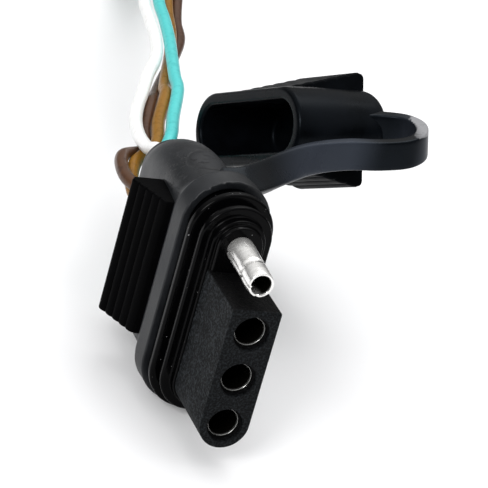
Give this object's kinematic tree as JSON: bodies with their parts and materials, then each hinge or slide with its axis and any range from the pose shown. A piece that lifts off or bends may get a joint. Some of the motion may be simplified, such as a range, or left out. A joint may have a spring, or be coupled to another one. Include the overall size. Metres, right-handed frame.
{
  "type": "trailer wiring connector",
  "caption": "Flat trailer wiring connector with a bullet pin, recessed sockets, a seal sleeve, colour-coded leads and a dust cap on a moulded strap.",
  "frame": {"origin": "on the nose's front face, in the middle of the contact row", "axes": "+Y from the nose back to the wires, +Z along the contact row towards the male pin, +X across the thickness towards the strap"},
  "size_m": [0.0758, 0.2909, 0.0518],
  "materials": {
    "outer_shell": "smooth satin charcoal flexible PVC with ribbed near-black grips",
    "seal": "glossy black",
    "block": "fine matte grain, black",
    "tinned_brass": "bright tin plating",
    "strap": "satin black",
    "cap": "satin black",
    "copper": "bright bare copper strands",
    "white_insulation": "smooth PVC",
    "brown_insulation": "smooth PVC",
    "yellow_insulation": "smooth PVC",
    "green_insulation": "smooth PVC"
  },
  "bodies": {
    "connector": {"outer_body": "outer_shell", "seal_sleeve": "seal", "contact_block": "block", "male_pin": "tinned_brass", "top_socket": "tinned_brass", "middle_socket": "tinned_brass", "bottom_socket": "tinned_brass", "white_core": "copper", "brown_core": "copper", "yellow_core": "copper", "green_core": "copper", "strap_root": "strap", "white_wire": "white_insulation", "brown_wire": "brown_insulation", "yellow_wire": "yellow_insulation", "green_wire": "green_insulation", "white_bare_end": "copper", "brown_bare_end": "copper", "yellow_bare_end": "copper", "green_bare_end": "copper"},
    "strap_reach": {"strap_reach": "strap"},
    "strap_return": {"strap_return": "strap"},
    "cap": {"strap_end": "strap", "dust_cap": "cap"}
  },
  "joints": [
    {"name": "strap_root_bend", "type": "hinge", "parent": "connector", "child": "strap_reach", "pos_m": [0.0082, 0.0314, 0.0213], "axis": [-0.4991, 0.6164, 0.6091], "range_deg": [-30, 2], "stiffness_Nm_per_rad": 0.08},
    {"name": "strap_loop_bend", "type": "hinge", "parent": "strap_reach", "child": "strap_return", "pos_m": [0.0484, 0.05, 0.0244], "axis": [-0.2417, 0.072, 0.9677], "range_deg": [-40, 1], "stiffness_Nm_per_rad": 0.06},
    {"name": "cap_bend", "type": "hinge", "parent": "strap_return", "child": "cap", "pos_m": [0.0471, 0.0569, 0.0234], "axis": [-0.2356, 0.0758, 0.9689], "range_deg": [-30, 2], "stiffness_Nm_per_rad": 0.06}
  ]
}
